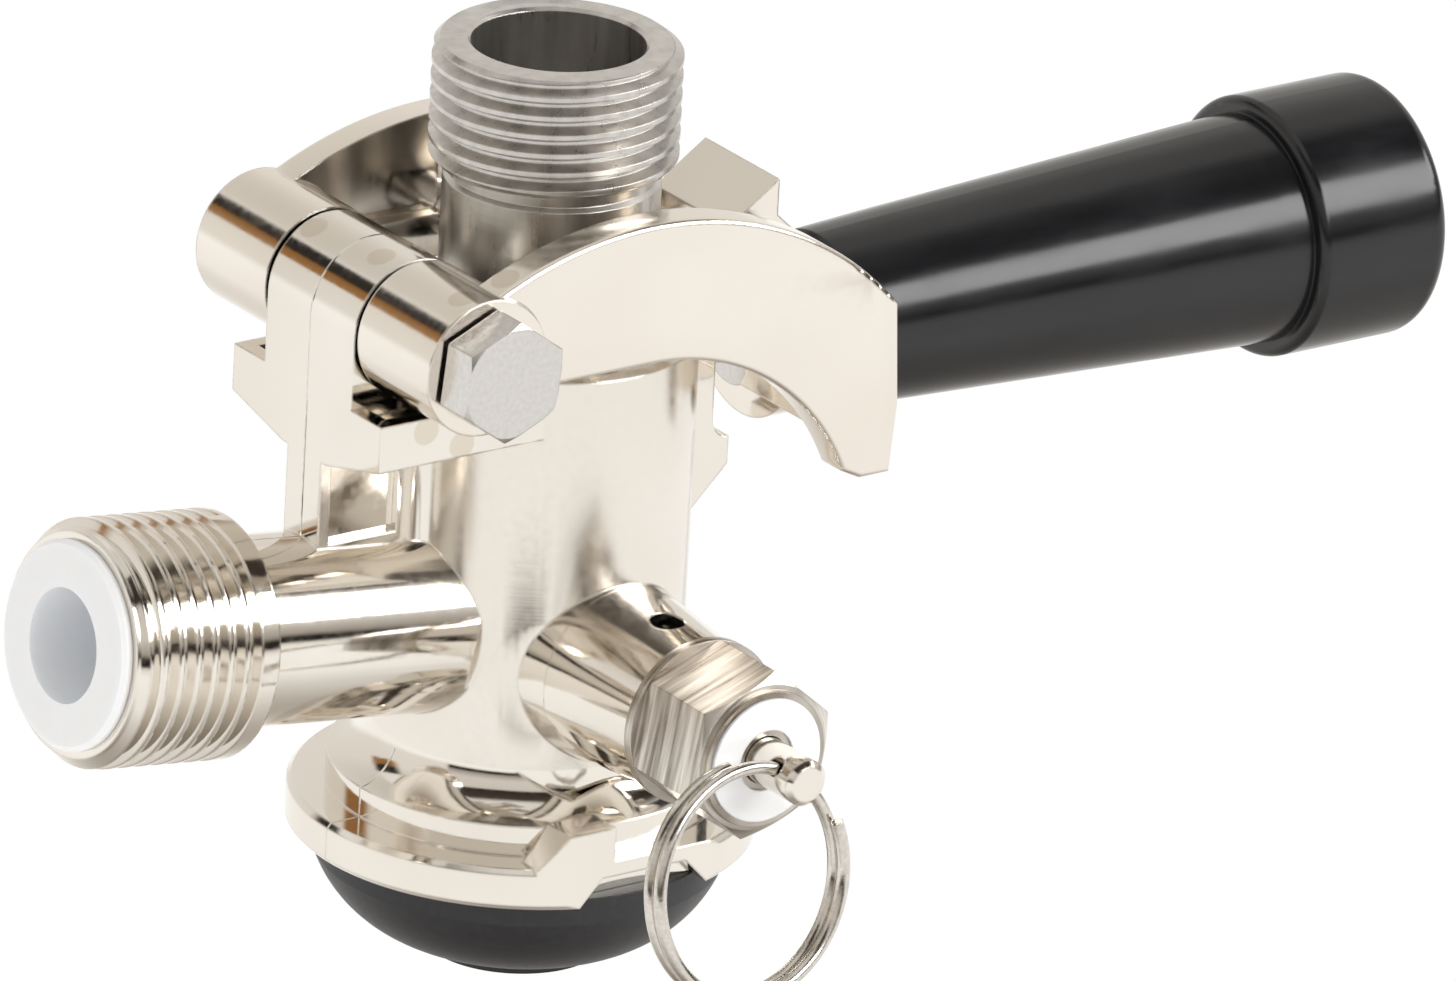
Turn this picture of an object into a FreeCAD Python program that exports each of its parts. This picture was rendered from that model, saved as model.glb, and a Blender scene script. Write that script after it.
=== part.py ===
import FreeCAD, Part
import Sketcher
import math
import os
import re

# A lever-operated keg coupler, in millimetres. The origin is the centre of the
# bottom seal's face on the probe's axis. +Z runs up the probe and +X runs
# towards the handle. The gas inlet and the hinge are on -X, the relief valve on -Y.

SIZES = {
    # probe
    "thread_radius": 11.45, "outlet_rise": 21.9, "thread_length": 11.5, "thread_chamfer": 0.7,
    "neck_radius": 9.6, "neck_height": 1.6, "stem_radius": 10.0, "outlet_radius": 8.0,
    "outlet_depth": 15.0, "beer_radius": 5.2, "mouth_chamfer": 0.3, "piston_radius": 11.7,
    "piston_drop": 19.0, "piston_height": 5.5, "lower_tube_radius": 6.5, "tip_height": 0.8,
    "tip_bore_radius": 3.5, "tip_wall_height": 3.2, "seat_cone_height": 2.5, "slot_floor": 7.5,
    "slot_play": 0.2, "ring_depth": 1.9, "ring_width": 2.2,
    # check ball
    "ball_radius": 4.5, "ball_gap": 0.08, "ball_lift": 3.5, "retainer_height": 1.6,
    "retainer_bore": 3.2, "retainer_gap": 0.4,
    # body casting
    "body_radius": 14.2, "body_drop": 5.5, "edge_chamfer": 0.6, "chamber_radius": 11.8,
    "neck_land": 4.0, "running_gap": 0.05, "flange_radius": 21.5, "rim_chamfer": 0.5,
    "flange_base": 11.7, "flange_height": 4.0, "flat_distance": 19.8, "step_radius": 18.0,
    "step_height": 2.9, "flare_radius": 4.6, "flare_height": 4.0, "notch_base_half": 7.0,
    "notch_top_half": 4.6, "notch_height": 2.5, "notch_floor": 17.3, "stop_start": 3.3,
    "stop_top_length": 5.0, "stop_ramp_length": 2.7, "stop_height": 3.3,
    # gas inlet
    "inlet_height": 32.9, "inlet_tilt": 6.8, "inlet_tube_radius": 8.8,
    "collar_start": 35.2, "collar_bevel": 0.8, "inlet_length": 51.0, "nose_radius": 10.4,
    "nose_length": 1.4, "valve_pocket_radius": 7.6, "valve_pocket_depth": 14.0,
    "gas_radius": 5.0,
    # relief valve boss
    "relief_height": 31.5, "relief_root_radius": 8.8, "relief_tip_radius": 7.2,
    "relief_length": 26.5, "relief_flare": 2.0, "relief_chamber_radius": 5.0,
    "relief_seat": 17.8, "relief_port_radius": 2.2, "vent_radius": 1.6, "vent_distance": 21.4,
    # ear, column, rails and fin
    "ear_front": 26.0, "hinge_offset": 19.5, "hinge_height": 66.5, "ear_radius": 6.5,
    "ear_half_width": 6.9, "ear_drop": 11.5, "web_half": 2.7, "web_root": 2.4,
    "web_recess": 0.8, "web_rim": 1.2, "rail_half_width": 11.8, "rail_top_drop": 7.0,
    "rail_depth": 4.5, "rail_drop": 2.1, "rail_end": 7.0, "pocket_depth": 2.6,
    "pocket_wall": 1.6, "pocket_length": 8.5, "fin_half": 3.0, "fin_edge": 17.3,
    "fin_drop": 1.0, "hook_edge": 19.2, "hook_drop": 16.5, "hook_height": 2.7,
    "hook_notch": 1.9,
    # hinge bolt
    "bolt_radius": 3.0, "bolt_gap": 0.06, "bolt_head_flats": 10.0, "bolt_head_height": 4.0,
    "bolt_head_gap": 0.4, "bolt_head_bevel": 0.5, "bolt_head_turn": 24.0, "bolt_end": 17.0,
    # lever yoke
    "arm_outer": 18.2, "arm_inner": 14.8, "arm_round": 0.5, "barrel_radius": 6.5,
    "barrel_gap": 0.55, "boss_rise": 0.4, "throat_radius": 15.0,
    "outer_arc_centre": -1.5, "outer_arc_drop": 27.1, "outer_arc_radius": 37.4,
    "inner_arc_centre": -1.0, "inner_arc_drop": 27.5, "inner_arc_radius": 24.2,
    "tip_front": 23.2, "tip_back": 26.5, "tip_drop": 18.9, "heel_drop": 12.2,
    "heel_back": 27.1, "rib_inner": 13.3, "rib_rise": 1.5, "rib_half_length": 9.0,
    "bridge_front": 19.6, "bridge_drop": 2.0, "bridge_depth": 12.1, "tab_half": 5.9,
    "tab_front": 15.8, "tab_front_rise": 2.8, "tab_ridge": 21.3, "tab_rise": 6.5,
    "tab_thickness": 2.2, "socket_radius": 7.9, "socket_back": 29.3, "socket_pocket": 4.9,
    "socket_wall": 1.4, "handle_drop": 10.9,
    # drive pins
    "pin_radius": 2.5, "pin_fit": 0.02, "pin_seat": 2.2, "pin_tip": 7.8,
    # handle
    "rod_radius": 3.0, "rod_gap": 0.05, "rod_head_radius": 4.6, "rod_head_front": 21.0,
    "rod_head_length": 1.6, "latch_radius": 2.2, "latch_front": 18.8, "rod_end": 62.0,
    "grip_gap": 0.3, "grip_front_radius": 8.4, "grip_mid": 39.0, "grip_mid_radius": 8.9,
    "grip_taper_end": 76.6, "grip_taper_radius": 10.7, "collar_front": 79.4,
    "cap_radius": 12.3, "cap_end": 94.0, "cap_round": 1.6,
    # springs
    "handle_spring_radius": 3.95, "handle_spring_wire": 0.7, "handle_spring_turns": 3.0,
    "relief_spring_radius": 3.4, "relief_spring_wire": 0.7, "relief_spring_turns": 5.0,
    "spring_gap": 0.15,
    # bottom seal
    "seal_radius": 18.9, "seal_rim_base": 9.2, "seal_bowl_radius": 12.5, "foot_radius": 8.2,
    "foot_height": 1.2, "foot_step": 0.6, "seal_bore": 7.1, "seal_bore_height": 5.0,
    "seal_mouth": 11.2, "spigot_radius": 16.0, "spigot_height": 3.1, "spigot_gap": 0.15,
    # rings
    "ring_squeeze": 0.08, "ring_clearance": 0.04,
    # gas check valve
    "valve_flange_radius": 9.65, "valve_flange": 1.0, "valve_bore": 5.3, "valve_tube_gap": 0.2,
    "valve_tube_length": 6.5, "valve_wall": 1.2, "valve_cup_length": 5.0, "valve_cup_radius": 2.6,
    "valve_slit": 0.5,
    # relief valve cap and stem
    "cap_thread_length": 3.2, "cap_thread_gap": 0.1, "washer_thickness": 1.0,
    "spring_pocket_radius": 4.2, "spring_pocket_depth": 7.8,
    "washer_radius": 7.9, "hex_flats": 14.0, "hex_length": 9.4, "hex_bevel": 1.1,
    "cap_face_radius": 6.5, "cap_face_length": 0.5, "label_radius": 5.9, "label_bore": 2.9,
    "label_thickness": 0.3, "pull_radius": 2.2, "pull_gap": 0.08, "pull_end": 44.2,
    "pull_chamfer": 0.5, "cross_hole_radius": 0.95, "cross_hole_distance": 41.5,
    "cross_hole_turn": 33.0, "poppet_radius": 4.4, "poppet_length": 1.6, "disc_thickness": 1.4,
    "disc_gap": 0.05, "disc_inset": 0.4, "stem_gap": 0.1,
    # split ring
    "wire_radius": 0.62, "split_ring_radius": 10.6, "split_ring_turns": 1.8,
    "split_ring_pitch": 1.32, "split_ring_lean": 10.0,
    # how far a cutting outline runs past what it cuts, and how deep a joined one sinks in
    "overshoot": 1.0, "sink": 1.0,
}

# Places that follow from the sizes: the whole lever gear hangs on the hinge's height
PLACES = {
    "thread_top": "hinge_height + outlet_rise", "body_top": "hinge_height - body_drop",
    "piston_base": "body_top - piston_drop", "ear_base": "hinge_height - ear_drop",
    "rail_top": "hinge_height - rail_top_drop", "rail_base": "rail_top - rail_depth",
    "fin_top": "body_top - fin_drop", "hook_base": "body_top - hook_drop",
    "hook_top": "hook_base + hook_height", "outer_arc_height": "hinge_height - outer_arc_drop",
    "inner_arc_height": "hinge_height - inner_arc_drop", "tip_base": "hinge_height - tip_drop",
    "heel_height": "hinge_height - heel_drop", "rib_top": "hinge_height + rib_rise",
    "bridge_top": "hinge_height - bridge_drop", "bridge_base": "bridge_top - bridge_depth",
    "tab_front_top": "hinge_height + tab_front_rise", "tab_ridge_top": "hinge_height + tab_rise",
    "handle_height": "hinge_height - handle_drop",
}

doc = FreeCAD.newDocument("keg_coupler")
sheet = doc.addObject("Spreadsheet::Sheet", "size")
for row, (alias, amount) in enumerate([*SIZES.items(), *PLACES.items()], start=1):
    sheet.set(f"A{row}", alias)
    sheet.set(f"B{row}", f"={amount}" if alias in PLACES else str(amount))
    sheet.setAlias(f"B{row}", alias)
doc.recompute()


def tied(text):
    """An expression of the sheet, from words that are aliases there."""
    return re.sub(r"[a-z][a-z_0-9]*", lambda word: "size." + word.group()
                  if word.group() in SIZES or word.group() in PLACES else word.group(), str(text))


def number(text):
    """The value of an expression now."""
    return float(sheet.evalExpression(tied(text)))


def new_body(label):
    body = doc.addObject("PartDesign::Body", label)
    body.Label = label
    return body


def origin_plane(body, role):
    return [part for part in body.Origin.OriginFeatures if part.Role == role][0]


def drawing(body, name, role, shift=("0", "0", "0"), turn="0"):
    """An empty sketch on one of the body's planes, moved and turned in that plane."""
    sketch = body.newObject("Sketcher::SketchObject", name)
    sketch.AttachmentSupport = (origin_plane(body, role), "")
    sketch.MapMode = "FlatFace"
    for axis, amount in zip("xyz", shift):
        if amount != "0":
            sketch.setExpression(f".AttachmentOffset.Base.{axis}", tied(amount))
    if turn != "0":
        sketch.setExpression(".AttachmentOffset.Rotation.Angle", tied(turn))
    return sketch


def pin_point(sketch, edge, end, across, up):
    """Ties one end of an edge to its place from the sketch's origin."""
    for kind, amount, axis in (("DistanceX", across, -2), ("DistanceY", up, -1)):
        if amount == "0":
            sketch.addConstraint(Sketcher.Constraint("PointOnObject", edge, end, axis))
            continue
        index = sketch.addConstraint(
            Sketcher.Constraint(kind, -1, 1, edge, end, number(amount)))
        sketch.renameConstraint(index, f"{kind}_{edge}_{end}")
        sketch.setExpression(f"Constraints.{kind}_{edge}_{end}", tied(amount))


def outline(sketch, corners):
    """A closed outline. A corner is (across, up), or (across, up, radius, side) where an
    arc leaves it: side 1 puts the arc's centre on the left of the way to the next corner."""
    first = sketch.GeometryCount
    ends = []
    for index, corner in enumerate(corners):
        following = corners[(index + 1) % len(corners)]
        start = FreeCAD.Vector(number(corner[0]), number(corner[1]), 0)
        finish = FreeCAD.Vector(number(following[0]), number(following[1]), 0)
        if len(corner) == 2:
            edge = sketch.addGeometry(Part.LineSegment(start, finish))
            ends.append((edge, 1, 2))
            continue
        radius, side = number(corner[2]), corner[3]
        chord = finish - start
        rise = math.sqrt(radius ** 2 - (chord.Length / 2) ** 2)
        left = FreeCAD.Vector(-chord.y, chord.x, 0).normalize()
        centre = (start + finish) * 0.5 + left * (rise * side)
        low, high = (start, finish) if side > 0 else (finish, start)
        angles = [math.atan2(point.y - centre.y, point.x - centre.x) for point in (low, high)]
        circle = Part.Circle(centre, FreeCAD.Vector(0, 0, 1), radius)
        edge = sketch.addGeometry(Part.ArcOfCircle(circle, angles[0], angles[1]))
        ends.append((edge, 1, 2) if side > 0 else (edge, 2, 1))
    for index, (edge, start_end, _) in enumerate(ends):
        before = ends[index - 1]
        sketch.addConstraint(Sketcher.Constraint("Coincident", before[0], before[2], edge, start_end))
        pin_point(sketch, edge, start_end, corners[index][0], corners[index][1])
        if len(corners[index]) > 2:
            tie = sketch.addConstraint(Sketcher.Constraint("Radius", edge, number(corners[index][2])))
            sketch.renameConstraint(tie, f"bend_{first}_{index}")
            sketch.setExpression(f"Constraints.bend_{first}_{index}", tied(corners[index][2]))
    return sketch


def ring_line(sketch, across, up, radius):
    """A circle tied to its centre and radius."""
    centre = FreeCAD.Vector(number(across), number(up), 0)
    edge = sketch.addGeometry(Part.Circle(centre, FreeCAD.Vector(0, 0, 1), number(radius)))
    pin_point(sketch, edge, 3, across, up)
    tie = sketch.addConstraint(Sketcher.Constraint("Radius", edge, number(radius)))
    sketch.renameConstraint(tie, f"ring_{edge}")
    sketch.setExpression(f"Constraints.ring_{edge}", tied(radius))
    return sketch


def feature(body, kind, name, sketch, length=None, side="One side", backwards=False):
    """A pad or pocket of a sketch. A cut must take something away."""
    before = body.Shape.Volume if kind in ("Pocket", "Groove") else 0
    made = body.newObject(f"PartDesign::{kind}", name)
    made.Profile = sketch
    if kind in ("Revolution", "Groove"):
        made.ReferenceAxis = (sketch, [side])
        made.Angle = 360
    else:
        made.SideType = side
        made.Reversed = backwards
        made.setExpression("Length", tied(length))
    doc.recompute()
    if before and made.Shape.Volume > before - 1e-3:
        raise RuntimeError(f"{name} cuts nothing")
    return made


def doubled(body, name, cut):
    """The same feature again, half a turn further round the Z axis."""
    pattern = body.newObject("PartDesign::PolarPattern", name)
    pattern.Originals = [cut]
    axis = [part for part in body.Origin.OriginFeatures if part.Role == "Z_Axis"][0]
    pattern.Axis = (axis, [""])
    pattern.Angle = 360
    pattern.Occurrences = 2
    body.Tip = pattern
    doc.recompute()
    return pattern


def softened(body, name, radius, wanted):
    """A fillet on the edges whose middle and box pass a test."""
    base = body.Tip
    names = [f"Edge{index}" for index, edge in enumerate(base.Shape.Edges, start=1)
             if wanted(edge, edge.valueAt((edge.FirstParameter + edge.LastParameter) / 2))]
    if not names:
        raise RuntimeError(f"{name} finds no edge")
    fillet = body.newObject("PartDesign::Fillet", name)
    fillet.Base = (base, names)
    fillet.setExpression("Radius", tied(radius))
    doc.recompute()
    return fillet


def turned(label, corners, role="XZ_Plane", shift=("0", "0", "0"), turn="0", axis="V_Axis"):
    """A piece that is one turned profile."""
    body = new_body(label)
    profile = outline(drawing(body, f"{label}_profile", role, shift, turn), corners)
    feature(body, "Revolution", f"{label}_turn", profile, side=axis)
    return body


# Places that several pieces share
FLANGE_TOP = "(flange_base + flange_height)"
STEP_TOP = "(flange_base + flange_height + step_height)"
INLET = {"shift": ("0", "inlet_height", "0"), "turn": "180 - inlet_tilt"}
RELIEF = {"shift": ("0", "relief_height", "0"), "turn": "180"}
THREAD_BASE = "(thread_top - thread_length)"
RING_BASE = "(piston_base + (piston_height - ring_width) / 2)"
NECK_BASE = "(body_top - neck_land)"
EAR_BACK = "(ear_radius - hinge_offset)"
RELIEF_ROOT = "sqrt(body_radius ^ 2 - (relief_root_radius + relief_flare) ^ 2)"
SEAT_SLOPE = "atan2(beer_radius - tip_bore_radius; seat_cone_height)"
BALL_REST = (f"(tip_height + tip_wall_height - tip_bore_radius / tan({SEAT_SLOPE})"
             f" + (ball_radius + ball_gap) / sin({SEAT_SLOPE}))")
SPRING_END = "(relief_length - cap_thread_length + spring_pocket_depth)"
CAP_BACK = "(relief_length + washer_thickness)"
CAP_FACE = "(relief_length + washer_thickness + hex_length)"


def body_casting():
    """The plated brass casting: barrel, flange, gas inlet, relief boss, ear, rails and fin."""
    body = new_body("body_casting")
    barrel = outline(drawing(body, "barrel_profile", "XZ_Plane"), [
        ("0", "flange_base"), ("flange_radius - rim_chamfer", "flange_base"),
        ("flange_radius", "flange_base + rim_chamfer"),
        ("flange_radius", f"{FLANGE_TOP} - rim_chamfer"),
        ("flange_radius - rim_chamfer", FLANGE_TOP), ("step_radius", FLANGE_TOP),
        ("step_radius", STEP_TOP, "flare_radius", -1),
        ("body_radius", f"{STEP_TOP} + flare_height"), ("body_radius", "body_top - edge_chamfer"),
        ("body_radius - edge_chamfer", "body_top"), ("0", "body_top")])
    feature(body, "Revolution", "barrel", barrel, side="V_Axis")

    # Flats across the flange, with the lead-in notches below them
    flats = drawing(body, "flat_outline", "YZ_Plane")
    for sign in ("", "-"):
        edges = [(f"{sign}flat_distance", "flange_base - 1"),
                 (f"{sign}(flange_radius + 1)", "flange_base - 1"),
                 (f"{sign}(flange_radius + 1)", f"{FLANGE_TOP} + 1"),
                 (f"{sign}flat_distance", f"{FLANGE_TOP} + 1")]
        outline(flats, edges if not sign else edges[::-1])
    feature(body, "Pocket", "flange_flats", flats, "flange_radius * 2", "Symmetric")
    notch = outline(drawing(body, "notch_outline", "XZ_Plane", ("0", "0", "notch_floor")), [
        ("-notch_base_half", "flange_base - 1"), ("notch_base_half", "flange_base - 1"),
        ("notch_base_half", "flange_base"), ("notch_top_half", "flange_base + notch_height"),
        ("-notch_top_half", "flange_base + notch_height"), ("-notch_base_half", "flange_base")])
    cut = feature(body, "Pocket", "flange_notch", notch, "flange_radius", backwards=True)
    doubled(body, "flange_notches", cut)

    # Stop blocks with a ramp, standing on the lugs flush with the flats
    block = outline(drawing(body, "stop_outline", "XZ_Plane", ("0", "0", "step_radius - 2")), [
        ("-stop_start", f"{FLANGE_TOP} - 1"), ("-stop_start", f"{FLANGE_TOP} + stop_height"),
        ("-stop_start - stop_top_length", f"{FLANGE_TOP} + stop_height"),
        ("-stop_start - stop_top_length - stop_ramp_length", FLANGE_TOP),
        ("-stop_start - stop_top_length - stop_ramp_length", f"{FLANGE_TOP} - 1")])
    stop = feature(body, "Pad", "stop_block", block, "flat_distance - step_radius + 2")
    doubled(body, "stop_blocks", stop)
    rim = outline(drawing(body, "rim_outline", "XZ_Plane"), [
        ("flange_radius", f"{FLANGE_TOP} - rim_chamfer - sink"),
        ("flange_radius * 1.2", f"{FLANGE_TOP} - rim_chamfer - sink"),
        ("flange_radius * 1.2", f"{FLANGE_TOP} + stop_height + overshoot"),
        ("flange_radius", f"{FLANGE_TOP} + stop_height + overshoot")])
    feature(body, "Groove", "rim_trim", rim, side="V_Axis")

    # Gas inlet: a tilted tube with a collar and the thread's outside
    tube = outline(drawing(body, "inlet_profile", "XZ_Plane", **INLET), [
        ("0", "0"), ("0", "inlet_tube_radius"), ("collar_start", "inlet_tube_radius"),
        ("collar_start + collar_bevel", "thread_radius"),
        ("inlet_length - nose_length", "thread_radius"),
        ("inlet_length - nose_length + thread_radius - nose_radius", "nose_radius"),
        ("inlet_length", "nose_radius"), ("inlet_length", "0")])
    feature(body, "Revolution", "inlet_tube", tube, side="H_Axis")

    # Relief valve boss: a tapered horn that flares into the barrel
    boss = outline(drawing(body, "relief_profile", "YZ_Plane", **RELIEF), [
        ("0", "0"), ("0", "relief_root_radius + relief_flare"),
        (RELIEF_ROOT, "relief_root_radius + relief_flare", "relief_flare * 2", -1),
        (f"{RELIEF_ROOT} + relief_flare * 1.6", "relief_root_radius"),
        ("relief_length", "relief_tip_radius"), ("relief_length", "0")])
    feature(body, "Revolution", "relief_boss", boss, side="H_Axis")

    # Ear for the hinge, then the column and web under it
    ear = outline(drawing(body, "ear_outline", "XZ_Plane"), [
        ("-ear_front", "ear_base"), (f"{EAR_BACK} + 4", "ear_base"),
        (f"{EAR_BACK} + 4", "body_top - 1"), (EAR_BACK, "body_top - 1"),
        (EAR_BACK, "hinge_height", "ear_radius * 1.0001", 1), ("-ear_front", "hinge_height")])
    feature(body, "Pad", "ear", ear, "ear_half_width * 2", "Symmetric")
    column = outline(drawing(body, "column_outline", "XY_Plane", ("0", "0", "inlet_height")), [
        ("-ear_front", "-web_half"), ("-body_radius - web_root", "-web_half", "web_root * 1.2", -1),
        ("-body_radius + sink * 1.5", "-web_half - web_root"),
        ("-body_radius + sink * 1.5", "web_half + web_root", "web_root * 1.2", -1),
        ("-body_radius - web_root", "web_half"), ("-ear_front", "web_half")])
    feature(body, "Pad", "column", column, "ear_base + sink - inlet_height")
    panel = outline(drawing(body, "panel_outline", "XZ_Plane", ("0", "0", "web_half - web_recess")), [
        ("-ear_front + web_rim", "inlet_height + inlet_tube_radius + web_rim * 2.5"),
        ("-body_radius - web_root - web_recess", "inlet_height + inlet_tube_radius + web_rim * 2.5"),
        ("-body_radius - web_root - web_recess", "rail_base - rail_drop - web_rim / 2"),
        ("-ear_front + web_rim", "rail_base - rail_drop - web_rim / 2")])
    cut = feature(body, "Pocket", "panel_near", panel, "web_recess + 1", backwards=True)
    flip = body.newObject("PartDesign::Mirrored", "panel_pair")
    flip.Originals = [cut]
    flip.MirrorPlane = (origin_plane(body, "XZ_Plane"), [""])
    body.Tip = flip
    doc.recompute()

    # Cross plate whose ends run back to the barrel as side rails
    rails = outline(drawing(body, "rail_outline", "YZ_Plane", ("0", "0", "-ear_front")), [
        ("-rail_half_width", "rail_base"), ("-web_half - 0.8", "rail_base - rail_drop"),
        ("web_half + 0.8", "rail_base - rail_drop"), ("rail_half_width", "rail_base"),
        ("rail_half_width", "rail_top"), ("-rail_half_width", "rail_top")])
    feature(body, "Pad", "rails", rails, "ear_front - rail_end")
    wells = drawing(body, "well_outline", "XY_Plane", ("0", "0", "rail_top - pocket_depth"))
    for sign in ("", "-"):
        edges = [("-ear_front + pocket_wall", f"{sign}ear_half_width"),
                 ("-ear_front + pocket_wall + pocket_length", f"{sign}ear_half_width"),
                 ("-ear_front + pocket_wall + pocket_length",
                  f"{sign}(rail_half_width - pocket_wall)"),
                 ("-ear_front + pocket_wall", f"{sign}(rail_half_width - pocket_wall)")]
        outline(wells, edges)
    feature(body, "Pocket", "rail_wells", wells, "pocket_depth + 1", backwards=True)

    # Rear fin with its hooked lug
    fin = outline(drawing(body, "fin_outline", "XZ_Plane"), [
        ("body_radius - 3", "fin_top"), ("body_radius - 3", "hook_base - hook_edge + body_radius - 2"),
        ("body_radius - 2", "hook_base - hook_edge + body_radius - 2"), ("hook_edge", "hook_base"),
        ("hook_edge", "hook_top", "hook_notch * 1.05", -1), ("fin_edge", "hook_top + hook_notch"),
        ("fin_edge", "fin_top")])
    feature(body, "Pad", "fin", fin, "fin_half * 2", "Symmetric")

    # Inside: seal recess, gas chamber, neck land and its ring groove
    inside = outline(drawing(body, "chamber_profile", "XZ_Plane"), [
        ("0", "flange_base - 1"), ("spigot_radius + spigot_gap", "flange_base - 1"),
        ("spigot_radius + spigot_gap", "flange_base + spigot_height + spigot_gap"),
        ("chamber_radius", "flange_base + spigot_height + spigot_gap"),
        ("chamber_radius", NECK_BASE), ("stem_radius + running_gap", NECK_BASE),
        ("stem_radius + running_gap", f"{NECK_BASE} + 1"),
        ("stem_radius + ring_width * 0.7", f"{NECK_BASE} + 1"),
        ("stem_radius + ring_width * 0.7", f"{NECK_BASE} + 1 + ring_width"),
        ("stem_radius + running_gap", f"{NECK_BASE} + 1 + ring_width"),
        ("stem_radius + running_gap", "body_top + 1"), ("0", "body_top + 1")])
    feature(body, "Groove", "chamber", inside, side="V_Axis")
    gas_way = outline(drawing(body, "gas_profile", "XZ_Plane", **INLET), [
        ("chamber_radius - 3", "0"), ("chamber_radius - 3", "gas_radius"),
        ("inlet_length - valve_pocket_depth", "gas_radius"),
        ("inlet_length - valve_pocket_depth", "valve_pocket_radius"),
        ("inlet_length + 1", "valve_pocket_radius"), ("inlet_length + 1", "0")])
    feature(body, "Groove", "gas_way", gas_way, side="H_Axis")
    relief_way = outline(drawing(body, "relief_way_profile", "YZ_Plane", **RELIEF), [
        ("chamber_radius - 3", "0"), ("chamber_radius - 3", "relief_port_radius"),
        ("relief_seat", "relief_port_radius"), ("relief_seat", "relief_chamber_radius"),
        ("relief_length + 1", "relief_chamber_radius"), ("relief_length + 1", "0")])
    feature(body, "Groove", "relief_way", relief_way, side="H_Axis")
    vent = ring_line(drawing(body, "vent_ring", "XY_Plane", ("0", "0", "relief_height")),
                     "0", "-vent_distance", "vent_radius")
    feature(body, "Pocket", "vent", vent, "relief_root_radius + 3", backwards=True)
    eye = ring_line(drawing(body, "eye_ring", "XZ_Plane"),
                    "-hinge_offset", "hinge_height", "bolt_radius + bolt_gap")
    feature(body, "Pocket", "hinge_eye", eye, "ear_half_width * 2 + 2", "Symmetric")
    return body


def probe():
    """The stainless probe: threaded outlet, slotted stem, piston and valve tip."""
    body = turned("probe", [
        ("tip_bore_radius", "tip_height"), ("lower_tube_radius - 0.5", "tip_height"),
        ("lower_tube_radius", "tip_height + 1"), ("lower_tube_radius", "piston_base"),
        ("piston_radius", "piston_base"), ("piston_radius", RING_BASE),
        ("piston_radius - ring_depth", RING_BASE),
        ("piston_radius - ring_depth", f"{RING_BASE} + ring_width"),
        ("piston_radius", f"{RING_BASE} + ring_width"),
        ("piston_radius", "piston_base + piston_height"),
        ("stem_radius", "piston_base + piston_height"),
        ("stem_radius", f"{THREAD_BASE} - neck_height"),
        ("neck_radius", f"{THREAD_BASE} - neck_height + stem_radius - neck_radius"),
        ("neck_radius", THREAD_BASE), ("thread_radius - thread_chamfer", THREAD_BASE),
        ("thread_radius", f"{THREAD_BASE} + thread_chamfer"),
        ("thread_radius", "thread_top - thread_chamfer"),
        ("thread_radius - thread_chamfer", "thread_top"),
        ("outlet_radius + mouth_chamfer", "thread_top"),
        ("outlet_radius", "thread_top - mouth_chamfer"), ("outlet_radius", "thread_top - outlet_depth"),
        ("beer_radius", "thread_top - outlet_depth - outlet_radius + beer_radius"),
        ("beer_radius", "tip_height + tip_wall_height + seat_cone_height"),
        ("tip_bore_radius", "tip_height + tip_wall_height")])
    slots = drawing(body, "slot_outline", "YZ_Plane")
    reach = "(pin_radius + slot_play)"
    for sign in ("", "-"):
        outline(slots, [(f"{sign}slot_floor", f"hinge_height - {reach}"),
                        (f"{sign}(thread_radius + overshoot)", f"hinge_height - {reach}"),
                        (f"{sign}(thread_radius + overshoot)", f"hinge_height + {reach}"),
                        (f"{sign}slot_floor", f"hinge_height + {reach}")])
    feature(body, "Pocket", "drive_slots", slots, "(thread_radius + overshoot) * 2", "Symmetric")
    return body


def seal_ring(label, inner, outer, base, height):
    """A rubber ring of round section squared off by its groove."""
    middle = f"(({inner}) + ({outer})) / 2"
    half = f"(({outer}) - ({inner})) / 2"
    body = new_body(label)
    section = ring_line(drawing(body, f"{label}_section", "XZ_Plane"), middle,
                        f"{base} + ({height}) / 2", half)
    feature(body, "Revolution", f"{label}_turn", section, side="V_Axis")
    return body


def probe_ring_seal():
    return seal_ring("probe_ring_seal", "piston_radius - ring_depth + ring_squeeze",
                     "chamber_radius - ring_clearance", RING_BASE, "ring_width")


def body_top_seal():
    return seal_ring("body_top_seal", "stem_radius + ring_squeeze",
                     "stem_radius + ring_width * 0.7 - 0.05", f"{NECK_BASE} + 1", "ring_width")


def check_ball():
    """The beer check ball on its cone, held up by its clearance."""
    body = new_body("check_ball")
    ball = body.newObject("PartDesign::AdditiveSphere", "ball")
    ball.setExpression("Radius", tied("ball_radius"))
    ball.setExpression(".AttachmentOffset.Base.z", tied(BALL_REST))
    ball.AttachmentSupport = (origin_plane(body, "XY_Plane"), "")
    ball.MapMode = "FlatFace"
    doc.recompute()
    return body


def ball_retainer():
    """A snap-in ring that keeps the ball in the probe."""
    base = f"({BALL_REST} + ball_radius + ball_lift + retainer_gap)"
    return turned("ball_retainer", [
        ("retainer_bore", base), ("beer_radius - 0.05", base),
        ("beer_radius - 0.05", f"{base} + retainer_height"),
        ("retainer_bore", f"{base} + retainer_height")])


def bottom_seal():
    """The black rubber bowl that seals in the keg's neck."""
    return turned("bottom_seal", [
        ("seal_bore", "0"), ("foot_radius", "0"), ("foot_radius", "foot_height"),
        ("foot_radius + foot_step", "foot_height", "seal_bowl_radius", 1),
        ("seal_radius", "seal_rim_base"), ("seal_radius", "flange_base"),
        ("spigot_radius", "flange_base"), ("spigot_radius", "flange_base + spigot_height"),
        ("seal_mouth", "flange_base + spigot_height"), ("seal_bore", "seal_bore_height")])


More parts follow.
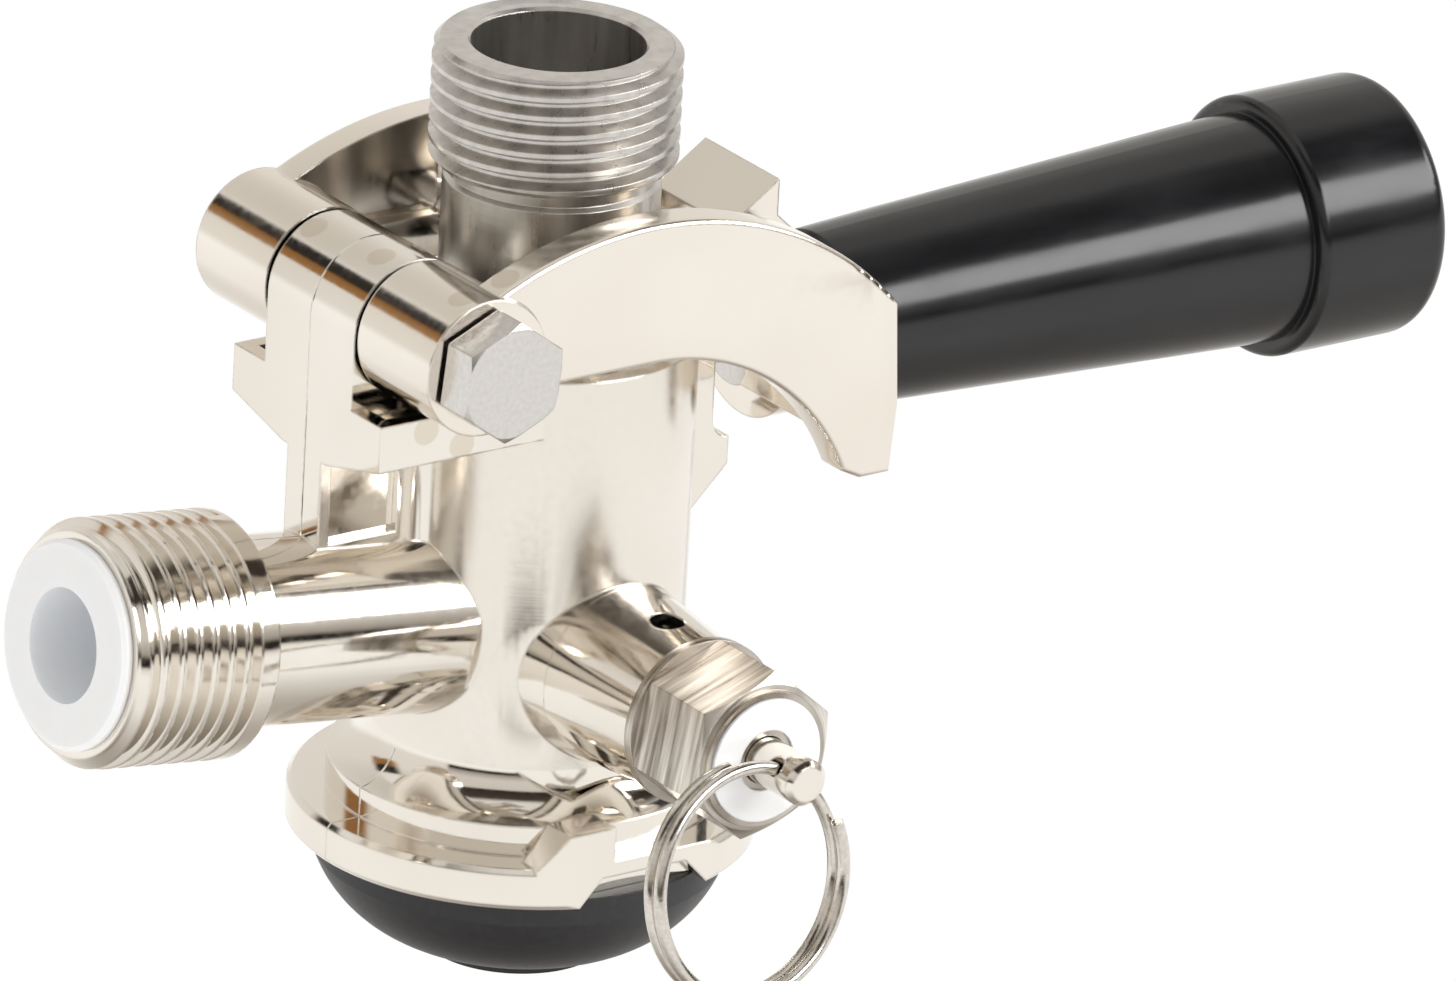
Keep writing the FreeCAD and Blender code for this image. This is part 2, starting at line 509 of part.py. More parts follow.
def gas_check_valve():
    """The soft inlet valve: a flange on the inlet's face and a cup with a slit."""
    tube = "(valve_pocket_radius - valve_tube_gap)"
    cup_start = "(inlet_length - valve_tube_length)"
    cup_end = "(inlet_length - valve_tube_length - valve_cup_length)"
    body = turned("gas_check_valve", [
        ("inlet_length + valve_flange", "valve_bore"),
        ("inlet_length + valve_flange", "valve_flange_radius - 0.4"),
        ("inlet_length + valve_flange - 0.4", "valve_flange_radius"),
        ("inlet_length", "valve_flange_radius"), ("inlet_length", tube), (cup_start, tube),
        (cup_end, "valve_cup_radius"), (cup_end, "0"), (f"{cup_end} + valve_wall", "0"),
        (f"{cup_end} + valve_wall", "valve_cup_radius - valve_wall * 0.6"),
        (cup_start, "valve_bore")], axis="H_Axis", **INLET)
    slit = outline(drawing(body, "slit_outline", "XZ_Plane", **INLET), [
        (f"{cup_end} - 1", "-valve_slit / 2"), (f"{cup_end} + valve_wall + 1", "-valve_slit / 2"),
        (f"{cup_end} + valve_wall + 1", "valve_slit / 2"), (f"{cup_end} - 1", "valve_slit / 2")])
    feature(body, "Pocket", "slit", slit, "valve_cup_radius * 1.2", "Symmetric")
    return body


def relief_cap():
    """The hexagonal relief valve cap, screwed into the boss."""
    corner = "(hex_flats / 2 / cos(30))"
    body = turned("relief_cap", [
        (SPRING_END, "pull_radius + pull_gap"), (SPRING_END, "spring_pocket_radius"),
        ("relief_length - cap_thread_length", "spring_pocket_radius"),
        ("relief_length - cap_thread_length", "relief_chamber_radius - cap_thread_gap"),
        ("relief_length", "relief_chamber_radius - cap_thread_gap"),
        ("relief_length", "washer_radius"), (CAP_BACK, "washer_radius"),
        (f"{CAP_BACK} + 0.01", f"{corner} - hex_bevel * 0.4"),
        (f"{CAP_BACK} + hex_bevel * 0.3", corner), (f"{CAP_FACE} - hex_bevel * 0.6", corner),
        (CAP_FACE, f"{corner} - hex_bevel"), (CAP_FACE, "cap_face_radius"),
        (f"{CAP_FACE} + cap_face_length", "cap_face_radius"),
        (f"{CAP_FACE} + cap_face_length", "pull_radius + pull_gap")], role="YZ_Plane",
        axis="H_Axis", **RELIEF)
    flats = drawing(body, "hex_outline", "XZ_Plane", ("0", "relief_height", CAP_BACK))
    ring_line(flats, "0", "0", "hex_flats")
    outline(flats, [(f"{corner} * {math.cos(math.radians(turn)):.6f}",
                     f"{corner} * {math.sin(math.radians(turn)):.6f}")
                    for turn in range(20, 380, 60)])
    feature(body, "Pocket", "hexagon", flats, "hex_length", backwards=True)
    return body


def relief_label():
    """The plain white disc on the cap's face."""
    face = f"({CAP_FACE} + cap_face_length)"
    return turned("relief_label", [
        (face, "label_bore"), (face, "label_radius"), (f"{face} + label_thickness", "label_radius"),
        (f"{face} + label_thickness", "label_bore")], role="YZ_Plane", axis="H_Axis", **RELIEF)


def relief_pull_pin():
    """The pin that the ring pulls, with its cross hole."""
    body = turned("relief_pull_pin", [
        ("relief_seat + disc_thickness + poppet_length + stem_gap", "0"),
        ("relief_seat + disc_thickness + poppet_length + stem_gap", "pull_radius"),
        ("pull_end - pull_chamfer", "pull_radius"), ("pull_end", "pull_radius - pull_chamfer"),
        ("pull_end", "0")], role="YZ_Plane", axis="H_Axis", **RELIEF)
    hole = body.newObject("PartDesign::SubtractiveCylinder", "cross_hole")
    hole.AttachmentSupport = (origin_plane(body, "XY_Plane"), "")
    hole.MapMode = "FlatFace"
    hole.setExpression("Radius", tied("cross_hole_radius"))
    hole.setExpression("Height", tied("pull_radius * 4"))
    turn = number("90 + cross_hole_turn")
    way = FreeCAD.Rotation(FreeCAD.Vector(0, 1, 0), turn)
    start = FreeCAD.Vector(0, -number("cross_hole_distance"), number("relief_height"))
    reach = way.multVec(FreeCAD.Vector(0, 0, number("pull_radius * 2")))
    hole.AttachmentOffset = FreeCAD.Placement(start - reach, way)
    doc.recompute()
    return body


def relief_poppet():
    """The poppet plate that the spring presses on."""
    return turned("relief_poppet", [
        ("relief_seat + disc_thickness", "0"), ("relief_seat + disc_thickness", "poppet_radius"),
        ("relief_seat + disc_thickness + poppet_length", "poppet_radius"),
        ("relief_seat + disc_thickness + poppet_length", "0")],
        role="YZ_Plane", axis="H_Axis", **RELIEF)


def relief_seal_disc():
    """The rubber disc that closes the relief port."""
    return turned("relief_seal_disc", [
        ("relief_seat + disc_gap", "0"), ("relief_seat + disc_gap", "poppet_radius - disc_inset"),
        ("relief_seat + disc_thickness", "poppet_radius - disc_inset"),
        ("relief_seat + disc_thickness", "0")], role="YZ_Plane", axis="H_Axis", **RELIEF)


def hinge_bolt():
    """The hexagon bolt that the lever turns on; it screws into the far barrel."""
    face = "(arm_outer + boss_rise + bolt_head_gap)"
    body = new_body("hinge_bolt")
    shank = ring_line(drawing(body, "shank_ring", "XZ_Plane", ("0", "0", face)),
                      "-hinge_offset", "hinge_height", "bolt_radius")
    feature(body, "Pad", "shank", shank, f"{face} + bolt_end", backwards=True)
    corner = "(bolt_head_flats / 2 / cos(30))"
    head = outline(drawing(body, "head_outline", "XZ_Plane", ("0", "0", face)), [
        (f"-hinge_offset + {corner} * cos(bolt_head_turn + {turn})",
         f"hinge_height + {corner} * sin(bolt_head_turn + {turn})")
        for turn in range(0, 360, 60)])
    feature(body, "Pad", "head", head, "bolt_head_height")
    bevel = outline(drawing(body, "bevel_profile", "XY_Plane", ("-hinge_offset", "0", "hinge_height")), [
        (f"{corner} - bolt_head_bevel * 1.6", f"-{face} - bolt_head_height - 0.1"),
        (f"{corner} + 1", f"-{face} - bolt_head_height - 0.1"),
        (f"{corner} + 1", f"-{face} - bolt_head_height + bolt_head_bevel * 1.6")])
    feature(body, "Groove", "head_bevel", bevel, side="V_Axis")
    return body


def lever_yoke():
    """The forked lever: two crescent arms, a bridge behind the body and a thumb tab."""
    body = new_body("lever_yoke")
    tip_x = "inner_arc_centre + sqrt(inner_arc_radius ^ 2 - (inner_arc_height - tip_base - 1) ^ 2)"
    crescent = outline(drawing(body, "arm_outline", "XZ_Plane"), [
        ("-hinge_offset", "inner_arc_height + inner_arc_radius"),
        ("inner_arc_centre", "inner_arc_height + inner_arc_radius", "inner_arc_radius", -1),
        (tip_x, "tip_base + 1"), ("tip_front", "tip_base"), ("tip_back", "tip_base"),
        ("heel_back", "heel_height"),
        ("tip_back", "outer_arc_height + sqrt(outer_arc_radius ^ 2 - (tip_back - outer_arc_centre) ^ 2)",
         "outer_arc_radius", 1),
        ("-hinge_offset",
         "outer_arc_height + sqrt(outer_arc_radius ^ 2 - (hinge_offset + outer_arc_centre) ^ 2)")])
    feature(body, "Pad", "arms", crescent, "arm_outer * 2", "Symmetric")
    side_face = number("arm_outer")
    softened(body, "arm_edges", "arm_round",
             lambda edge, middle: abs(abs(middle.y) - side_face) < 0.01)
    barrel = ring_line(drawing(body, "barrel_ring", "XZ_Plane"),
                       "-hinge_offset", "hinge_height", "barrel_radius")
    feature(body, "Pad", "barrels", barrel, "(arm_outer + boss_rise) * 2", "Symmetric")

    # The throat that the probe rises through, and the gap for the ear
    throat = outline(drawing(body, "throat_outline", "XY_Plane"), [
        ("0", "-throat_radius", "throat_radius * 1.0001", -1), ("0", "throat_radius"),
        ("2", "arm_inner"), ("bridge_front", "arm_inner"), ("bridge_front", "-arm_inner"),
        ("2", "-arm_inner")])
    feature(body, "Pocket", "throat", throat, "thread_top * 2", "Symmetric")
    gap = "(ear_half_width + barrel_gap)"
    ear_gap = outline(drawing(body, "ear_gap_outline", "XY_Plane"), [
        ("-ear_front - 1", f"-{gap}"), ("-throat_radius + 3", f"-{gap}"),
        ("-throat_radius + 3", gap), ("-ear_front - 1", gap)])
    feature(body, "Pocket", "ear_gap", ear_gap, "thread_top * 2", "Symmetric")

    # The bridge is lower than the arms, above and below
    trims = drawing(body, "trim_outline", "YZ_Plane", ("0", "0", "bridge_front - 0.5"))
    for sign in ("", "-"):
        outline(trims, [(f"{sign}tab_half", "bridge_top"), (f"{sign}arm_inner", "bridge_top"),
                        (f"{sign}arm_inner", "thread_top"), (f"{sign}tab_half", "thread_top")])
    outline(trims, [("-arm_inner", "bridge_base"), ("-arm_inner", "tip_base - 2"),
                    ("arm_inner", "tip_base - 2"), ("arm_inner", "bridge_base")])
    feature(body, "Pocket", "bridge_trims", trims, "heel_back", backwards=True)
    tab = outline(drawing(body, "tab_outline", "XZ_Plane"), [
        ("bridge_front", "bridge_top - 2"), ("tip_back - 1", "bridge_top - 2"),
        ("tip_back - 2", "bridge_top + 2"), ("tab_ridge", "tab_ridge_top - 3.5"),
        ("tab_ridge", "tab_ridge_top"), ("tab_front", "tab_front_top"),
        ("tab_front", "tab_front_top - tab_thickness")])
    feature(body, "Pad", "tab", tab, "tab_half * 2", "Symmetric")

    # Ribs along the arms' lower edges, and the seats of the drive pins in them
    ribs = drawing(body, "rib_outline", "YZ_Plane")
    for sign in ("", "-"):
        outline(ribs, [(f"{sign}rib_inner", "inner_arc_height + inner_arc_radius"),
                       (f"{sign}(arm_inner + 1)", "inner_arc_height + inner_arc_radius"),
                       (f"{sign}(arm_inner + 1)", "rib_top"), (f"{sign}rib_inner", "rib_top")])
    feature(body, "Pad", "ribs", ribs, "rib_half_length * 2", "Symmetric")
    for name, sign in (("near", ""), ("far", "-")):
        depth = f"{sign}(arm_inner + pin_seat)"
        seat = ring_line(drawing(body, f"{name}_pin_seat", "XZ_Plane", ("0", "0", depth)),
                         "0", "hinge_height", "pin_radius + pin_fit")
        feature(body, "Pocket", f"{name}_pin_hole", seat, "arm_inner + pin_seat",
                backwards=(sign == "-"))

    # Handle socket: a round boss, the spring's pocket and the rod's guide
    boss = ring_line(drawing(body, "socket_ring", "YZ_Plane", ("0", "0", "bridge_front + 3")),
                     "0", "handle_height", "socket_radius")
    feature(body, "Pad", "socket", boss, "socket_back - bridge_front - 3")
    pocket = ring_line(drawing(body, "spring_pocket_ring", "YZ_Plane", ("0", "0", "bridge_front - 1")),
                       "0", "handle_height", "socket_pocket")
    feature(body, "Pocket", "spring_pocket", pocket, "socket_back - socket_wall - bridge_front + 1",
            backwards=True)
    guide = ring_line(drawing(body, "guide_ring", "YZ_Plane", ("0", "0", "bridge_front")),
                      "0", "handle_height", "rod_radius + rod_gap")
    feature(body, "Pocket", "rod_guide", guide, "socket_back", backwards=True)

    # The bolt's hole through both barrels
    hole = ring_line(drawing(body, "bolt_ring", "XZ_Plane"),
                     "-hinge_offset", "hinge_height", "bolt_radius + bolt_gap")
    feature(body, "Pocket", "bolt_hole", hole, "arm_outer * 2 + 4", "Symmetric")
    return body


def drive_pin(label, sign):
    """A steel pin from an arm into the probe's slot."""
    body = new_body(label)
    end = f"{sign}(arm_inner + pin_seat - 0.05)"
    section = ring_line(drawing(body, f"{label}_ring", "XZ_Plane", ("0", "0", end)),
                        "0", "hinge_height", "pin_radius")
    feature(body, "Pad", f"{label}_pad", section, "arm_inner + pin_seat - 0.05 - pin_tip",
            backwards=(sign == ""))
    return body


def handle_rod():
    """The steel rod in the handle, with the spring's head and the latch tip."""
    head_back = "(rod_head_front + rod_head_length)"
    return turned("handle_rod", [
        ("latch_front", "0"), ("latch_front", "latch_radius - 0.4"),
        ("latch_front + 0.4", "latch_radius"), ("rod_head_front", "latch_radius"),
        ("rod_head_front", "rod_head_radius"), (head_back, "rod_head_radius"),
        (head_back, "rod_radius"), ("rod_end", "rod_radius"), ("rod_end", "0")],
        shift=("0", "handle_height", "0"), axis="H_Axis")


def handle_grip():
    """The black moulded grip: a long taper, a groove and a wide end collar."""
    front = "(socket_back + grip_gap)"
    return turned("handle_grip", [
        (front, "rod_radius + 0.02"), (front, "grip_front_radius - 0.5"),
        (f"{front} + 0.5", "grip_front_radius"), ("grip_mid", "grip_mid_radius"),
        ("grip_taper_end", "grip_taper_radius"), ("collar_front", "grip_taper_radius + 0.1"),
        ("collar_front", "cap_radius - cap_round * 0.5", "cap_round * 0.6", -1),
        ("collar_front + cap_round * 0.5", "cap_radius"),
        ("cap_end - cap_round", "cap_radius", "cap_round * 1.0001", -1),
        ("cap_end", "cap_radius - cap_round"), ("cap_end", "0"), ("rod_end + 0.1", "0"),
        ("rod_end + 0.1", "rod_radius + 0.02")],
        shift=("0", "handle_height", "0"), axis="H_Axis")


def coil(label, radius, wire, turns, length, start, way):
    """A wound wire: a round section swept along a helix, from a start point along a way."""
    pitch = length / turns
    path = Part.makeHelix(pitch, length, radius)
    section = Part.Wire(Part.makeCircle(wire, FreeCAD.Vector(radius, 0, 0), FreeCAD.Vector(0, 1, 0)))
    shape = Part.Wire(path).makePipeShell([section], True, True)
    made = doc.addObject("Part::Feature", label)
    made.Label = label
    made.Shape = shape
    made.Placement = FreeCAD.Placement(start, way)
    return made


def handle_spring():
    """The spring that keeps the handle's latch pressed in."""
    wire = number("handle_spring_wire / 2")
    low = number("rod_head_front + rod_head_length + spring_gap") + wire
    high = number("socket_back - socket_wall - spring_gap") - wire
    return coil("handle_spring", number("handle_spring_radius"), wire,
                number("handle_spring_turns"), high - low,
                FreeCAD.Vector(low, 0, number("handle_height")),
                FreeCAD.Rotation(FreeCAD.Vector(0, 1, 0), 90))


def relief_spring():
    """The spring that holds the relief valve shut."""
    wire = number("relief_spring_wire / 2")
    low = number("relief_seat + disc_thickness + poppet_length + spring_gap") + wire
    high = number(f"{SPRING_END} - spring_gap") - wire
    return coil("relief_spring", number("relief_spring_radius"), wire,
                number("relief_spring_turns"), high - low,
                FreeCAD.Vector(0, -low, number("relief_height")),
                FreeCAD.Rotation(FreeCAD.Vector(1, 0, 0), 90))


def split_ring():
    """The wire ring in the pull pin's cross hole, with its single strand in the hole."""
    turn = math.radians(number("cross_hole_turn"))
    lean = math.radians(number("split_ring_lean"))
    along = FreeCAD.Vector(math.cos(turn), 0, -math.sin(turn))
    down = FreeCAD.Vector(-math.sin(turn) * math.cos(lean), -math.sin(lean),
                          -math.cos(turn) * math.cos(lean))
    hole = FreeCAD.Vector(0, -number("cross_hole_distance"), number("relief_height"))
    radius, turns = number("split_ring_radius"), number("split_ring_turns")
    length = number("split_ring_pitch") * turns
    normal = along.cross(down)
    # The helix starts so far back that its middle passes through the hole
    back = math.pi * turns
    across = down * -math.cos(back) - along * math.sin(back)
    side = normal.cross(across)
    basis = FreeCAD.Matrix(across.x, side.x, normal.x, 0, across.y, side.y, normal.y, 0,
                           across.z, side.z, normal.z, 0, 0, 0, 0, 1)
    centre = hole + down * radius - normal * (length / 2)
    return coil("split_ring", radius, number("wire_radius"), turns, length, centre,
                FreeCAD.Placement(basis).Rotation)


PIECES = [body_casting(), probe(), probe_ring_seal(), body_top_seal(), check_ball(),
          ball_retainer(), bottom_seal(), gas_check_valve(), relief_cap(), relief_label(),
          relief_pull_pin(), relief_poppet(), relief_seal_disc(), relief_spring(),
          split_ring(), hinge_bolt(), lever_yoke(), drive_pin("drive_pin_near", ""),
          drive_pin("drive_pin_far", "-"), handle_rod(), handle_grip(), handle_spring()]
doc.recompute()

for item in doc.Objects:
    if "Invalid" in item.State or "Error" in item.State:
        raise RuntimeError(f"{item.Label} failed: {item.State}")
os.makedirs("parts", exist_ok=True)
for piece in PIECES:
    solid = piece.Shape
    if solid.isNull() or not solid.isValid() or not solid.Solids:
        raise RuntimeError(f"{piece.Label} has no valid solid")
    box = solid.BoundBox
    print(f"{piece.Label:18s} solids {len(solid.Solids)} volume {solid.Volume:9.1f}"
          f"  X {box.XMin:7.2f} {box.XMax:7.2f}  Y {box.YMin:7.2f} {box.YMax:7.2f}"
          f"  Z {box.ZMin:7.2f} {box.ZMax:7.2f}")
    solid.exportStep(f"parts/{piece.Label}.step")
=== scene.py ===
import math

import bmesh
import bpy
from mathutils import Matrix, Vector

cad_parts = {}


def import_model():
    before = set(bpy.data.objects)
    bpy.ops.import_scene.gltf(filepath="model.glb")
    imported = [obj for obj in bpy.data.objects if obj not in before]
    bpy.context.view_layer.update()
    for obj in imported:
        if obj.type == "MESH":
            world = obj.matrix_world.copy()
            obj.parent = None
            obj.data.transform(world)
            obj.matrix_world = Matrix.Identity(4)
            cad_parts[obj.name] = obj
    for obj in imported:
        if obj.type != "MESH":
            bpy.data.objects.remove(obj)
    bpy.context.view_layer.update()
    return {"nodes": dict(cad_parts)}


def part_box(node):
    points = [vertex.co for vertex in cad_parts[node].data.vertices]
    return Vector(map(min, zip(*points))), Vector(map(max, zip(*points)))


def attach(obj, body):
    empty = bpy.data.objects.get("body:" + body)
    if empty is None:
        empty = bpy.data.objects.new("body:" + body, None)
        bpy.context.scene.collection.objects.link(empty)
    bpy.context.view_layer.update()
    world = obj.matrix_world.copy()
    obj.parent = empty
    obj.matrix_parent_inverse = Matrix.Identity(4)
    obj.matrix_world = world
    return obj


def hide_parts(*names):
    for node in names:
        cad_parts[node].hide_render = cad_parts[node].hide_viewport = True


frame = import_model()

nodes = frame["nodes"]
MM = 0.001

# Places on the object, from the frame
probe_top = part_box("probe")[1].z
seal_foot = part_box("bottom_seal")[0].z

# G5/8 outside threads of the outlet and the inlet; the inlet leans up from the barrel's axis
THREAD_PITCH = 1.814 * MM
THREAD_DEPTH = 1.05 * MM
THREAD_RADIUS = 11.45 * MM
OUTLET_THREAD_LENGTH = 11.5 * MM
INLET_TILT = math.radians(6.8)
INLET_BASE = Vector((0, 0, 32.9 * MM))
INLET_WAY = Vector((-math.cos(INLET_TILT), 0, math.sin(INLET_TILT)))
INLET_THREAD = (37.2 * MM, 50.2 * MM)

# Centres and radii for block() and rod(), which take millimetres
HINGE_X, HINGE_Z = -19.5, 66.5
HINGE_BARREL = 6.5
BARREL = 14.2
RELIEF_Z = 31.5
CLEAR = 0.02


def deselect():
    for thing in bpy.context.selected_objects:
        thing.select_set(False)


def pick(thing):
    """Makes one object the only selected and active one."""
    deselect()
    thing.select_set(True)
    bpy.context.view_layer.objects.active = thing
    return thing


def apply_modifier(thing, kind, name, **settings):
    pick(thing)
    modifier = thing.modifiers.new(name, kind)
    for key, value in settings.items():
        setattr(modifier, key, value)
    bpy.ops.object.modifier_apply(modifier=name)


def merged_copy(node, name):
    """A CAD node's own mesh as a new piece, with its loose triangles joined."""
    copy = nodes[node].copy()
    copy.data = nodes[node].data.copy()
    copy.name = name
    for key in list(copy.keys()):
        del copy[key]
    copy.parent = None
    bpy.context.scene.collection.objects.link(copy)
    copy.data.materials.clear()
    pick(copy)
    bpy.ops.object.mode_set(mode="EDIT")
    bpy.ops.mesh.select_all(action="SELECT")
    bpy.ops.mesh.customdata_custom_splitnormals_clear()
    bpy.ops.mesh.remove_doubles(threshold=0.001 * MM)
    bpy.ops.mesh.dissolve_limited(angle_limit=math.radians(0.4))
    bpy.ops.object.mode_set(mode="OBJECT")
    return copy


def linear(value):
    """An sRGB hex colour as linear red, green, blue and alpha."""
    channels = [int(value[i:i + 2], 16) / 255 for i in (1, 3, 5)]
    return tuple(c / 12.92 if c <= 0.04045 else ((c + 0.055) / 1.055) ** 2.4
                 for c in channels) + (1.0,)


def add_node(tree, kind, settings=None, links=None):
    """Adds a node, sets its properties or sockets, and links its inputs."""
    made = tree.nodes.new(kind)
    for key, value in (settings or {}).items():
        if isinstance(key, str) and hasattr(made, key):
            setattr(made, key, value)
        else:
            made.inputs[key].default_value = value
    for key, source in (links or {}).items():
        tree.links.new(source, made.inputs[key])
    return made


def new_material(name):
    """A material with one Principled shader; returns the material, its tree and the shader."""
    material = bpy.data.materials.new(name)
    material.use_nodes = True
    tree = material.node_tree
    tree.nodes.clear()
    shader = add_node(tree, "ShaderNodeBsdfPrincipled")
    add_node(tree, "ShaderNodeOutputMaterial", links={"Surface": shader.outputs[0]})
    return material, tree, shader


def object_noise(tree, size_mm, stretch=(1, 1, 1), detail=3.0):
    """Noise on object coordinates whose features are about size_mm across."""
    place = add_node(tree, "ShaderNodeTexCoord").outputs["Object"]
    scaled = add_node(tree, "ShaderNodeMapping", {"Scale": stretch}, {"Vector": place})
    return add_node(tree, "ShaderNodeTexNoise", {"Scale": 1 / (size_mm * MM), "Detail": detail},
                    {"Vector": scaled.outputs[0]}).outputs["Fac"]


def ramp(tree, factor, low, high, low_at=0.0, high_at=1.0):
    """A colour or grey that runs from low to high over part of a factor."""
    made = add_node(tree, "ShaderNodeValToRGB", links={"Fac": factor})
    made.color_ramp.elements[0].position = low_at
    made.color_ramp.elements[1].position = high_at
    for element, value in zip(made.color_ramp.elements, (low, high)):
        element.color = value if isinstance(value, tuple) else (value, value, value, 1)
    return made.outputs[0]


def bumped(tree, shader, height, distance_mm, strength=1.0, before=None):
    links = {"Height": height}
    if before is not None:
        links["Normal"] = before
    bump = add_node(tree, "ShaderNodeBump", {"Distance": distance_mm * MM, "Strength": strength},
                    links)
    tree.links.new(bump.outputs[0], shader.inputs["Normal"])
    return bump.outputs[0]


def rounded(tree, radius_mm):
    """A normal that rolls over sharp edges, as plating does."""
    return add_node(tree, "ShaderNodeBevel", {"samples": 4, "Radius": radius_mm * MM}).outputs[0]


def sums(tree, operation, first, second=None, third=None):
    """One arithmetic step; each input is a number or another step's output."""
    made = add_node(tree, "ShaderNodeMath", {"operation": operation})
    for socket, value in zip(made.inputs, (first, second, third)):
        if value is None:
            continue
        if isinstance(value, (int, float)):
            socket.default_value = value
        else:
            tree.links.new(value, socket)
    return made.outputs[0]


def parting_line(tree):
    """1 along the casting's middle plane on its hinge side, else 0."""
    place = add_node(tree, "ShaderNodeTexCoord").outputs["Object"]
    part = add_node(tree, "ShaderNodeSeparateXYZ", links={"Vector": place}).outputs
    near = sums(tree, "SUBTRACT", 1.0,
                sums(tree, "DIVIDE", sums(tree, "ABSOLUTE", part["Y"]), 0.14 * MM))
    line = sums(tree, "MAXIMUM", near, 0.0)
    side = sums(tree, "MULTIPLY", sums(tree, "LESS_THAN", part["X"], -14.4 * MM),
                sums(tree, "GREATER_THAN", part["X"], -34.5 * MM))
    return sums(tree, "MULTIPLY", line, side)


def turned_barrel(tree):
    """1 on the casting's turned barrel, else 0."""
    place = add_node(tree, "ShaderNodeTexCoord").outputs["Object"]
    part = add_node(tree, "ShaderNodeSeparateXYZ", links={"Vector": place}).outputs
    reach = sums(tree, "SQRT", sums(tree, "MULTIPLY_ADD", part["X"], part["X"],
                                    sums(tree, "MULTIPLY", part["Y"], part["Y"])))
    return sums(tree, "MULTIPLY", sums(tree, "LESS_THAN", reach, 14.3 * MM),
                sums(tree, "GREATER_THAN", part["Z"], 22.6 * MM))


def witness_marks(tree, places, radius_mm):
    """1 on round ejector pin marks at places given in millimetres, fading at their rims."""
    here = add_node(tree, "ShaderNodeTexCoord").outputs["Object"]
    marks = 0.0
    for place in places:
        reach = add_node(tree, "ShaderNodeVectorMath", {"operation": "DISTANCE"}, {0: here})
        reach.inputs[1].default_value = Vector(place) * MM
        near = add_node(tree, "ShaderNodeMapRange", {
            "From Min": (radius_mm + 0.12) * MM, "From Max": (radius_mm - 0.12) * MM},
            {"Value": reach.outputs["Value"]}).outputs[0]
        marks = sums(tree, "ADD", near, marks)
    return marks


def nickel_plate(name, tone, rough_low, rough_high, marks, peel_mm=2.5, peel_height_mm=0.008,
                 cast=False):
    """Nickel plating over a casting: warm white metal, with a faint peel and cloudy gloss."""
    material, tree, shader = new_material(name)
    shader.inputs["Metallic"].default_value = 1.0
    cloud = object_noise(tree, 14.0, detail=1.0)
    tint = ramp(tree, cloud, linear(tone[0]), linear(tone[1]), 0.3, 0.7)
    spots = sums(tree, "MULTIPLY", witness_marks(tree, marks, 1.35), 0.75)
    tint = add_node(tree, "ShaderNodeMix", {"data_type": "RGBA", 7: linear("#ddd3c3")},
                    {0: spots, 6: tint}).outputs[2]
    tree.links.new(tint, shader.inputs["Base Color"])
    grain = object_noise(tree, 0.8, detail=4.0)
    rough = ramp(tree, grain, rough_low, rough_high, 0.35, 0.75)
    skin = bumped(tree, shader, object_noise(tree, peel_mm, detail=1.0), peel_height_mm,
                  before=rounded(tree, 0.35))
    if cast:
        barrel = turned_barrel(tree)
        rough = sums(tree, "MULTIPLY_ADD", barrel, 0.14, rough)
        rings = sums(tree, "MULTIPLY", barrel,
                     object_noise(tree, 0.3, stretch=(0.02, 0.02, 1), detail=2.0))
        skin = bumped(tree, shader, rings, 0.003, before=skin)
        bumped(tree, shader, parting_line(tree), 0.09, before=skin)
    tree.links.new(rough, shader.inputs["Roughness"])
    return material


def turned_steel(name, tone, ring_mm=0.22, along=(0.02, 0.02, 1), streak_mm=1.4,
                 streak_way=(1, 1, 0.12)):
    """Turned metal: fine rings round the axis and soft streaks along it."""
    material, tree, shader = new_material(name)
    shader.inputs["Metallic"].default_value = 1.0
    streak = object_noise(tree, streak_mm, stretch=streak_way, detail=4.0)
    tint = ramp(tree, streak, linear(tone[0]), linear(tone[1]), 0.3, 0.7)
    tree.links.new(tint, shader.inputs["Base Color"])
    tree.links.new(ramp(tree, streak, 0.22, 0.36), shader.inputs["Roughness"])
    rings = object_noise(tree, ring_mm, stretch=along, detail=2.0)
    bumped(tree, shader, rings, 0.012, before=rounded(tree, 0.15))
    return material


def plain_steel(name, tone, roughness=0.28):
    """Cold-formed stainless steel with a dull, slightly pitted skin."""
    material, tree, shader = new_material(name)
    shader.inputs["Metallic"].default_value = 1.0
    pits = object_noise(tree, 0.5, detail=2.0)
    tree.links.new(ramp(tree, pits, linear(tone[0]), linear(tone[1]), 0.3, 0.75),
                   shader.inputs["Base Color"])
    tree.links.new(ramp(tree, pits, roughness - 0.06, roughness + 0.08),
                   shader.inputs["Roughness"])
    bumped(tree, shader, pits, 0.0015, before=rounded(tree, 0.2))
    return material


def moulded_plastic(name, tone, roughness):
    """Glossy moulded plastic with faint scuffs that soften the gloss."""
    material, tree, shader = new_material(name)
    scuff = object_noise(tree, 3.0, stretch=(0.25, 1, 1), detail=6.0)
    tree.links.new(ramp(tree, scuff, linear(tone[0]), linear(tone[1]), 0.35, 0.8),
                   shader.inputs["Base Color"])
    tree.links.new(ramp(tree, scuff, roughness, roughness + 0.12, 0.45, 0.8),
                   shader.inputs["Roughness"])
    bumped(tree, shader, object_noise(tree, 9.0, detail=1.0), 0.03, before=rounded(tree, 0.3))
    return material


def moulded_rubber(name, tone):
    """Moulded rubber: near black, satin, with a fine dusty bloom."""
    material, tree, shader = new_material(name)
    bloom = object_noise(tree, 0.9, detail=6.0)
    tree.links.new(ramp(tree, bloom, linear(tone[0]), linear(tone[1]), 0.4, 0.8),
                   shader.inputs["Base Color"])
    tree.links.new(ramp(tree, bloom, 0.36, 0.5), shader.inputs["Roughness"])
    bumped(tree, shader, bloom, 0.015, before=rounded(tree, 0.3))
    return material


